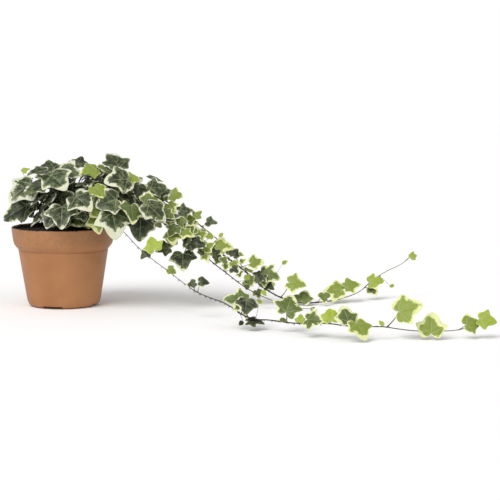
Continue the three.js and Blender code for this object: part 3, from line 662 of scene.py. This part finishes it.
def blade_outline(rim, waist, sides):
    """A blade's closed outline from its joint, to the right, over the tip and back. Between two points
    it runs straight, plus an outward parabola as high as its bulge times the distance. Each place is
    then averaged with its neighbours, which rounds the lobes and the sinuses."""
    half = np.array(HALF_OUTLINES[rim])
    half[:, 0] *= np.where((len(half) - np.arange(len(half))) % 2 == 1, waist, 1)
    keys = np.vstack([[[0, 0]], half, [[0, 1]], half[::-1] * [-1, 1]])
    uneven = draws.normal(0, 0.018, keys.shape)
    uneven[0] = 0
    keys = keys + uneven
    side = np.roll(keys, -1, axis=0) - keys
    outward = np.stack([side[:, 1], -side[:, 0]], axis=1)
    bulge = np.array(BULGES[rim] + BULGES[rim][::-1])[:, None, None]
    each = sides // len(keys)
    w = (np.arange(each) / each)[None, :, None]
    path = (keys[:, None] + side[:, None] * w + outward[:, None] * bulge * 4 * w * (1 - w)).reshape(-1, 2)
    soft = (np.roll(path, 1, axis=0) + 2 * path + np.roll(path, -1, axis=0)) / 4
    soft[0] = 0
    return soft


def blades(leaves, sides, rows):
    """Blades of a shoot. A blade is a grid of rows of points round a hub near its joint, each a share t
    of the outline. Its height over its base plane is the CAD blade's cup, as cupped() gives it, plus a
    fold along the midrib that rises with |u|, less a groove along each main vein, plus a
    swelling between them and a wave that grows with t. Its two faces are half the blade's thickness
    above and below that, and meet at the margin."""
    count = len(leaves)
    joint, across, tipward, normal = (np.array([leaf[k] for leaf in leaves])[:, None] for k in (
        "joint", "across", "tipward", "normal"))
    size, cup = (np.array([leaf[k] for leaf in leaves])[:, None] for k in ("size", "cup"))
    outline = np.array([blade_outline(leaf["rim"], leaf["waist"], sides) for leaf in leaves])
    rings = (np.arange(1, rows + 1) / rows) ** 0.85
    out = np.concatenate([np.repeat(rings, sides), [0]])
    spread = (outline - HUB)[:, None] * rings[None, :, None, None] + HUB
    place = np.concatenate([spread.reshape(count, -1, 2), np.broadcast_to(HUB, (count, 1, 2))], axis=1)
    u, v = place[..., 0], place[..., 1]

    reach = np.abs(u)[..., None] * VEINS[:, 0] + v[..., None] * VEINS[:, 1]
    off = np.abs(v[..., None] * VEINS[:, 0] - np.abs(u)[..., None] * VEINS[:, 1]) * size[..., None]
    vein = np.where(reach > 0, off, 99).min(axis=-1)
    groove = -0.22 * np.exp(-(vein / 0.7) ** 2) * np.sqrt(1 - out)
    swell = 0.016 * size * (1 - np.exp(-(vein / (0.1 * size)) ** 2)) * np.sin(math.pi * out)
    folds, phase = draws.integers(3, 7, (count, 1)), draws.random((count, 1)) * 2 * math.pi
    wave = (0.012 + 0.03 * draws.random((count, 1))) * size * out ** 2 * np.sin(
        folds * np.arctan2(u, v - BLADE_CENTRE) + phase)
    fold = (0.04 + 0.22 * draws.random((count, 1))) * size * np.sqrt(u ** 2 + 0.004)
    height = size * cupped(u, v, cup) + fold + groove + swell + wave
    half = BLADE / 2 * (1 - out ** 3)
    flat = joint + across * (u * size)[..., None] + tipward * (v * size)[..., None]
    below, above = (flat + normal * (height + side * half)[..., None] for side in (-1, 1))

    # From the pole underneath out to the margin, and back over the top to the upper pole.
    grid = np.arange(rows * sides).reshape(rows, sides)
    order = np.concatenate([grid.ravel(), grid[-2::-1].ravel(), [rows * sides] * 2])
    ring_below = below[:, :-1].reshape(count, rows, sides, 3)
    ring_above = above[:, :-1].reshape(count, rows, sides, 3)[:, -2::-1]
    points = np.concatenate([ring_below, ring_above], axis=1).reshape(count, -1, 3)
    points = np.concatenate([points, below[:, -1:], above[:, -1:]], axis=1)
    single = shell_triangles(2 * rows - 1, sides)
    underside = np.concatenate([np.repeat([1, 0], (rows - 1) * sides * 2), np.repeat([1, 0], sides)])
    flat_place = np.concatenate([place * size[..., None], np.broadcast_to(
        draws.random((count, 1, 1)) * 900, (*u.shape, 1))], axis=2)
    looks = np.array([LOOKS[leaf["look"]] for leaf in leaves]) + draws.normal(0, 0.03, (count, 4))
    return {
        "points": points.reshape(-1, 3), "triangles": copies(single, count, points.shape[1]),
        "which": np.tile(underside, count), "sharp": np.tile(out[order] == 1, count),
        "blade": np.dstack([u, v, np.broadcast_to(out, u.shape)])[:, order].reshape(-1, 3),
        "grain": flat_place[:, order].reshape(-1, 3),
        "look": np.repeat(np.clip(looks, 0, 1), points.shape[1], axis=0),
    }


# ---------------------------------------------------------------- stems and petioles
def woody(points, triangles, age):
    """Points and triangles of stem, with the age of each point, as blades() gives those of blades."""
    blank = np.zeros((len(points), 3))
    blank[:, 2] = age
    return {"points": points, "triangles": triangles, "which": np.full(len(triangles), 2),
            "sharp": np.zeros(len(points), bool), "blade": blank, "grain": points,
            "look": np.zeros((len(points), 4))}


def stem(line, radii, ages, feet):
    """The stem: a tube along its line, whose radii and ages are evenly spread over its length, swollen
    at each petiole's foot by a bell curve 1.3 mm wide."""
    share = np.linspace(0, 1, len(line))
    reach = np.linalg.norm(line[:, None] - line[feet][None], axis=2)
    swollen = 1 + 0.4 * np.exp(-(reach / 1.3) ** 2).max(axis=1)
    radius = np.interp(share, np.linspace(0, 1, len(radii)), radii) * swollen
    points, triangles = tubes(line[None], radius[None], STEM_SIDES)
    age = np.interp(share, np.linspace(0, 1, len(ages)), ages)
    return woody(points, triangles, np.append(np.repeat(age, STEM_SIDES), [ages[0], ages[-1]]))


def petioles(leaves, line, feet):
    """The petioles: quadratic curves from the middle of the stem to just inside the blade's base. The
    middle control lies half way, moved on along the stem by a share of the length."""
    start = line[feet]
    end = np.array([leaf["joint"] + leaf["tipward"] * 0.03 * leaf["size"] - leaf["normal"] * 0.15
                    for leaf in leaves])
    onward = unit(np.gradient(line, axis=0))[feet]
    length = np.linalg.norm(end - start, axis=1, keepdims=True)
    middle = (start + end) / 2 + onward * 0.14 * length
    w = np.linspace(0, 1, PETIOLE_STEPS)[None, :, None]
    paths = (1 - w) ** 2 * start[:, None] + 2 * w * (1 - w) * middle[:, None] + w ** 2 * end[:, None]
    size = np.array([leaf["size"] for leaf in leaves])
    radii = np.linspace(0.62, 0.4, PETIOLE_STEPS) * np.clip(size / 22, 0.45, 1.1)[:, None]
    points, triangles = tubes(paths, radii, PETIOLE_SIDES)
    ages = np.linspace(0.5, 0.12, PETIOLE_STEPS)
    age = np.append(np.repeat(ages, PETIOLE_SIDES), ages[[0, -1]])
    return woody(points, triangles, np.tile(age, len(leaves)))


def axil_buds(leaves, line, feet):
    """A pointed bud in the axil of each petiole: a short tube that swells and closes."""
    start = line[feet]
    out = unit(np.array([leaf["joint"] for leaf in leaves]) - start)
    onward = unit(np.gradient(line, axis=0))[feet]
    way = unit(out + 1.2 * onward)
    steps = np.array([0.3, 1.0, 1.7, 2.4, 3.0])
    paths = start[:, None] + way[:, None] * steps[None, :, None]
    radii = np.broadcast_to(np.array([0.5, 0.75, 0.72, 0.45, 0.08]), (len(leaves), 5))
    points, triangles = tubes(paths, radii, 7)
    return woody(points, triangles, 0.3)


def rootlets(line, until):
    """Tufts of short aerial roots along the underside of an old stem, at even spacing. Each is a thin
    cone, whose way is down and across the stem, with a draw added."""
    stations = np.arange(FIRST_TUFT, int(len(line) * until), NEXT_TUFT).repeat(TUFT_ROOTS)
    along = unit(np.gradient(line, axis=0))[stations]
    way = draws.normal(0, 0.6, (len(stations), 3)) - UP
    way = unit(way - along * (way * along).sum(axis=1, keepdims=True))
    start = line[stations] + along * draws.normal(0, 0.9, (len(stations), 1))
    length = 1.6 + 1.2 * draws.random((len(stations), 1, 1))
    paths = start[:, None] + way[:, None] * length * np.array([0.2, 0.6, 1.0])[None, :, None]
    paths[..., 2] = np.maximum(paths[..., 2], 0.2)
    radii = np.broadcast_to(np.array([0.2, 0.15, 0.06]), (len(stations), 3))
    points, triangles = tubes(paths, radii, 4)
    return woody(points, triangles, 0.85)


# ---------------------------------------------------------------- leaves that only the looks have
def new_leaf(joint, tipward, normal, size, cup, rim, foot, look):
    """A leaf with the values that cad_blades() reads from a CAD blade, and its look."""
    return {"joint": joint, "across": np.cross(tipward, normal), "tipward": tipward, "normal": normal,
            "size": size, "cup": cup, "waist": 1.0, "rim": rim, "foot": foot, "look": look}


def unfolding(line):
    """The growing tip: three young blades, still narrow, that spread from the stem's end."""
    end, onward = line[-1], unit(line[-1] - line[-4])
    aside = unit(np.cross(onward, UP))
    over = np.cross(aside, onward)
    young = []
    for turn, size in zip((0.4, 2.5, 4.6), (6.5, 5.0, 3.6)):
        out = math.cos(turn) * aside + math.sin(turn) * over
        tipward = unit(onward + 0.65 * out)
        normal = unit(out - tipward * (out @ tipward)) * -1
        joint = end + onward * 1.2 + out * 0.9
        young.append(new_leaf(joint, tipward, normal, size, -0.5, 5, end, "lime"))
    return young


def feelers(leaf):
    """The feeling places of a leaf, on its cupped base surface."""
    u, v = FEELERS.T
    return leaf["joint"] + leaf["size"] * (np.outer(u, leaf["across"]) + np.outer(
        v, leaf["tipward"]) + np.outer(cupped(u, v, leaf["cup"]), leaf["normal"]))


def inner_leaves(line):
    """Small old leaves low on a crown stem, to either side of it in turn, which fill the plant's dark
    middle. Each faces out from the middle of the crown and up, and its tip hangs down. Of a number of
    draws it takes the one that stays farthest from the leaves that are there, and it is left out where
    even that one comes too near them. Those that are kept are then felt by the next ones."""
    leaves = []
    for share, hand in zip(np.linspace(0.36, 0.86, INNER_LEAVES), [1, -1] * (INNER_LEAVES // 2)):
        spot = int(share * len(line))
        onward = unit(line[spot + 2] - line[spot])
        outward = unit(line[spot] * (1, 1, 0) - CROWN_MIDDLE)
        felt = np.concatenate(FELT)
        felt = felt[np.linalg.norm(felt - line[spot], axis=1) < FELT_WITHIN]
        others = KDTree(len(felt))
        for index, place in enumerate(felt.tolist()):
            others.insert(place, index)
        others.balance()
        best, most = None, LEAST_ROOM
        for _ in range(TRIES):
            aside = unit(np.cross(onward, UP) + draws.normal(0, 0.5, 3)) * hand
            normal = unit(0.8 * outward + 0.6 * UP + draws.normal(0, 0.45, 3))
            tipward = aside + 0.3 * onward - 0.6 * UP
            tipward = unit(tipward - normal * (tipward @ normal))
            joint = line[spot] + (3 + 7 * draws.random()) * aside + 4 * onward + 2 * UP
            size = 12 + 7 * draws.random()
            leaf = new_leaf(joint, tipward, normal, size, 0.25, 11, line[spot], "old")
            room = min(others.find(place)[2] for place in feelers(leaf).tolist())
            if room > most:
                best, most = leaf, room
        if best:
            leaves.append(best)
            FELT.append(feelers(best))
    return leaves


def side_leaves(line, near, far, taken):
    """Small young leaves that crowd round a trail between two distances from the pot. Each stands to a
    drawn side of the stem, more often above it, and faces the front as the larger ones do. One that
    would come too near a blade that is taken, or one before it, is left out."""
    leaves = []
    middles = [leaf["joint"] + 0.35 * leaf["size"] * leaf["tipward"] for leaf in taken]
    sizes = [leaf["size"] for leaf in taken]
    for spot in np.flatnonzero((line[:, 0] > near) & (line[:, 0] < far))[::2]:
        onward = unit(line[spot + 2] - line[spot])
        out = draws.normal(0, 1, 3) + 0.7 * UP
        out = unit(out - onward * (out @ onward))
        size = 8 + 6 * draws.random()
        joint = line[spot] + out * (4 + 6 * draws.random()) + 2 * onward
        tipward = unit(out + 0.5 * onward + draws.normal(0, 0.3, 3))
        normal = np.array([0.05, -0.78, 0.62]) + draws.normal(0, 0.35, 3)
        normal = unit(normal - tipward * (normal @ tipward))
        middle = joint + 0.35 * size * tipward
        apart = np.linalg.norm(np.array(middles) - middle, axis=1) / (np.array(sizes) + size)
        if apart.min() < 0.4:
            continue
        middles.append(middle)
        sizes.append(size)
        look = SIDE_MIX[draws.integers(len(SIDE_MIX))]
        leaves.append(new_leaf(joint, tipward, normal, size, 0.2, 9, line[spot], look))
    return leaves


def look_of(leaves, noted, others):
    """Gives each leaf its look: each noted one goes to the nearest blade, and the rest are drawn."""
    for leaf in leaves:
        leaf["look"] = others[draws.integers(len(others))]
    for (x, z), look in noted.items():
        nearest = min(leaves, key=lambda leaf: math.hypot(leaf["joint"][0] - x, leaf["joint"][2] - z))
        nearest["look"] = look


def make_shoot(node, line, radii, ages, others, rooted_until=None):
    """One shoot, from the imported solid's blades and the line of its stem. Where the fine blades reach
    past the CAD part's box, their points are moved back to its side."""
    leaves = list(CAD_BLADES[node])
    look_of(leaves, NOTED.get(node, {}), others)
    if node in CROWN:
        leaves += inner_leaves(line)
    if node in CROWDED:
        taken = [blade for trail in TRAILS for blade in CAD_BLADES[trail]]
        leaves += side_leaves(line, *CROWDED[node], taken)
    grown = len(leaves)
    leaves += unfolding(line)
    feet = np.array([np.linalg.norm(line - leaf["foot"], axis=1).argmin() for leaf in leaves])
    parts = [blades([leaf for leaf in leaves if leaf["size"] >= SMALL_LEAF], *FINE),
             blades([leaf for leaf in leaves if leaf["size"] < SMALL_LEAF], *PLAIN),
             stem(line, radii, ages, feet), petioles(leaves, line, feet),
             axil_buds(leaves[:grown], line, feet[:grown])]
    if rooted_until:
        parts.append(rootlets(line, rooted_until))
    starts = np.cumsum([0] + [len(part["points"]) for part in parts])
    joined = {key: np.concatenate([part[key] for part in parts]) for key in parts[0] if key != "triangles"}
    triangles = np.vstack([part["triangles"] + start for part, start in zip(parts, starts)])
    piece("ivy_" + node, np.clip(joined["points"], BOX_LOW, BOX_HIGH), triangles, SKINS, [node],
          joined["which"], {key: joined[key] for key in ("blade", "grain", "look")}, joined["sharp"])


# ---------------------------------------------------------------- the leaves' looks
# Green from dark to yellow, share of the blade that is cream, how yellow the cream is, and mottling.
LOOKS = {
    "old": (0.05, 0.04, 0.3, 0.2), "dark": (0.2, 0.12, 0.3, 0.5), "green": (0.57, 0.28, 0.6, 0.35),
    "grey": (0.28, 0.22, 0.1, 0.8), "pale": (0.34, 0.29, 0.1, 0.9), "white": (0.3, 0.38, 0.1, 0.7),
    "spotted": (0.27, 0.3, 0.1, 1.0), "fresh": (0.76, 0.32, 0.8, 0.2), "lime": (0.9, 0.12, 1.0, 0.15),
    "young": (0.79, 0.08, 1.0, 0.3), "gold": (0.74, 0.54, 0.8, 0.2), "edged": (0.54, 0.46, 0.6, 0.4),
}
# The looks that are known, each for the blade whose joint is nearest to a place (x, z).
NOTED = {
    "shoot_front": {(7, 120): "grey"},
    "shoot_front_right": {(22, 128): "white", (36, 131): "grey"},
    "shoot_front_low_right": {(52, 117): "gold", (32, 110): "pale"},
    "shoot_front_left": {(-7, 155): "grey", (-14, 150): "pale"},
    "shoot_left_low": {(-40, 118): "dark"},
    "shoot_left": {(-34, 143): "spotted"},
    "shoot_left_top": {(-45, 156): "lime", (-25, 146): "grey"},
    "shoot_centre_left": {(3, 159): "pale", (-8, 161): "dark"},
    "shoot_centre": {(20, 165): "dark", (14, 161): "pale"},
    "shoot_centre_right": {(42, 160): "young", (42, 138): "young", (49, 153): "dark"},
    "shoot_top_right": {(68, 162): "grey", (76, 150): "young"},
    "shoot_right_front": {(79, 150): "spotted"},
    "shoot_right_low": {(63, 113): "white", (66, 123): "pale"},
    "shoot_right_out": {(95, 109): "dark", (103, 121): "grey"},
    "shoot_right": {(90, 142): "dark", (104, 138): "grey"},
    "trail_lower": {
        (111, 73): "lime", (103, 70): "dark", (126, 51): "fresh", (162, 42): "dark", (158, 39): "dark",
        (212, 30): "green", (214, 32): "dark", (222, 27): "fresh", (216, 9): "dark", (211, 11): "dark",
        (255, 22): "green", (248, 13): "green", (269, 14): "lime", (277, 16): "edged", (300, 18): "lime",
        (317, 20): "edged", (325, 19): "fresh", (353, 15): "lime", (368, 29): "fresh", (401, 7): "gold",
        (437, 15): "fresh", (452, 20): "lime"},
    "trail_upper": {
        (109, 130): "grey", (123, 118): "fresh", (136, 110): "grey", (154, 103): "fresh", (146, 95): "green",
        (155, 81): "gold", (170, 76): "lime", (182, 79): "lime", (179, 69): "gold", (176, 63): "green",
        (198, 57): "dark", (197, 50): "gold", (218, 49): "gold", (232, 37): "green", (232, 33): "dark",
        (236, 23): "dark", (255, 49): "gold", (263, 27): "fresh", (278, 5): "green", (302, 8): "green",
        (327, 13): "gold", (331, 16): "fresh", (361, 21): "lime", (361, 15): "green", (386, 14): "lime",
        (410, 50): "lime"},
    "trail_middle": {
        (141, 64): "dark", (150, 71): "dark", (125, 70): "dark", (118, 111): "green", (133, 95): "green",
        (140, 89): "gold", (149, 80): "dark", (166, 71): "fresh", (165, 62): "gold", (186, 56): "green",
        (197, 49): "dark", (212, 35): "lime", (231, 22): "lime"},
}
CROWN_MIX = ["grey", "pale", "grey", "green", "spotted", "grey", "dark"]
TRAIL_MIX = ["gold", "fresh", "green", "grey"]
SIDE_MIX = ["gold", "fresh", "edged", "green", "gold", "dark"]
CROWDED = {"trail_upper": (90, 238), "trail_middle": (90, 172)}  # from and to, out from the pot's axis

# The radii and ages of the stems, evenly spread from the root to the tip.
CROWN_STEM = ((1.0, 0.55), (0.9, 0.3))
TRAIL_STEMS = {
    "trail_lower": ((0.9, 0.4, 0.38, 0.62, 0.65, 0.5, 0.4), (1.0, 0.5, 0.6, 1.0, 0.9, 0.7, 0.3)),
    "trail_upper": ((1.1, 0.95, 0.8, 0.75, 0.8, 0.45, 0.35), (1.0, 1.0, 0.9, 0.9, 1.0, 0.6, 0.4)),
    "trail_middle": ((1.1, 0.9, 0.65, 0.5, 0.35), (1.0, 1.0, 0.9, 0.9, 0.6)),
    "trail_back": ((1.0, 0.8, 0.4), (1.0, 0.8, 0.4)),
}

# ---------------------------------------------------------------- putting it together
make_pot()
make_compost()
SKINS = [leaf_skin(), leaf_underside(), stem_skin()]
CAD_BLADES = {node: cad_blades(node) for node in (*CROWN, *TRAILS)}
FELT = [feelers(blade) for found in CAD_BLADES.values() for blade in found]
for node, tip in CROWN.items():
    make_shoot(node, crown_line(tip), *CROWN_STEM, CROWN_MIX)
for node, (root, *onward) in TRAILS.items():
    make_shoot(node, stem_line(root, onward), *TRAIL_STEMS[node], TRAIL_MIX, rooted_until=0.7)


# ---------------------------------------------------------------- camera, floor and light
FLOOR_REACH, FLOOR_HEIGHT = 6, -0.0002  # metres
PICTURE_WIDTH = 500  # pixels
FOCAL_LENGTH = 1552  # pixels
LOOKS_DOWN = 6.4  # degrees
CAMERA_PLACE = (0.2177, -1.8, 0.266)  # metres


def make_stage():
    """A wide white board under the pot, a white sky that lights less than it shows, a far soft lamp
    high at the front left, and a weaker one at the front right. Colours are shown as they are."""
    bpy.context.scene.view_settings.view_transform = "Standard"
    mesh = bpy.data.meshes.new("floor")
    corners = [(x * FLOOR_REACH, y * FLOOR_REACH, FLOOR_HEIGHT)
               for x, y in ((-1, -1), (1, -1), (1, 1), (-1, 1))]
    mesh.from_pydata(corners, [], [(0, 1, 2, 3)])
    mesh.materials.append(painted_board())
    floor = bpy.data.objects.new("floor", mesh)
    bpy.context.scene.collection.objects.link(floor)

    world = bpy.data.worlds.new("white_sky")
    bpy.context.scene.world = world
    world.use_nodes = True
    tree = world.node_tree
    tree.nodes.clear()
    seen = add(tree, "LightPath").outputs["Is Camera Ray"]
    strength = add(tree, "MapRange", {"Value": seen, "To Min": 0.55, "To Max": 1.0})
    add(tree, "OutputWorld", {
        "Surface": add(tree, "Background", {"Color": (1, 1, 1, 1), "Strength": strength})})
    for name, tilt, turn, wide, power in (("key", 42, -34, 38, 2.0), ("fill", 58, 50, 50, 0.35)):
        lamp = bpy.data.lights.new(name, "SUN")
        lamp.angle, lamp.energy = math.radians(wide), power
        holder = bpy.data.objects.new(name, lamp)
        bpy.context.scene.collection.objects.link(holder)
        holder.rotation_euler = (math.radians(tilt), 0, math.radians(turn))


def make_camera():
    """A long lens in front of the pot, a little above it, that looks down on it."""
    lens = bpy.data.cameras.new("camera")
    lens.sensor_width = 36
    lens.lens = FOCAL_LENGTH / PICTURE_WIDTH * 36
    camera = bpy.data.objects.new("camera", lens)
    camera.location = CAMERA_PLACE
    camera.rotation_euler = (math.radians(90 - LOOKS_DOWN), 0, 0)
    bpy.context.scene.collection.objects.link(camera)
    bpy.context.scene.camera = camera


make_stage()
make_camera()
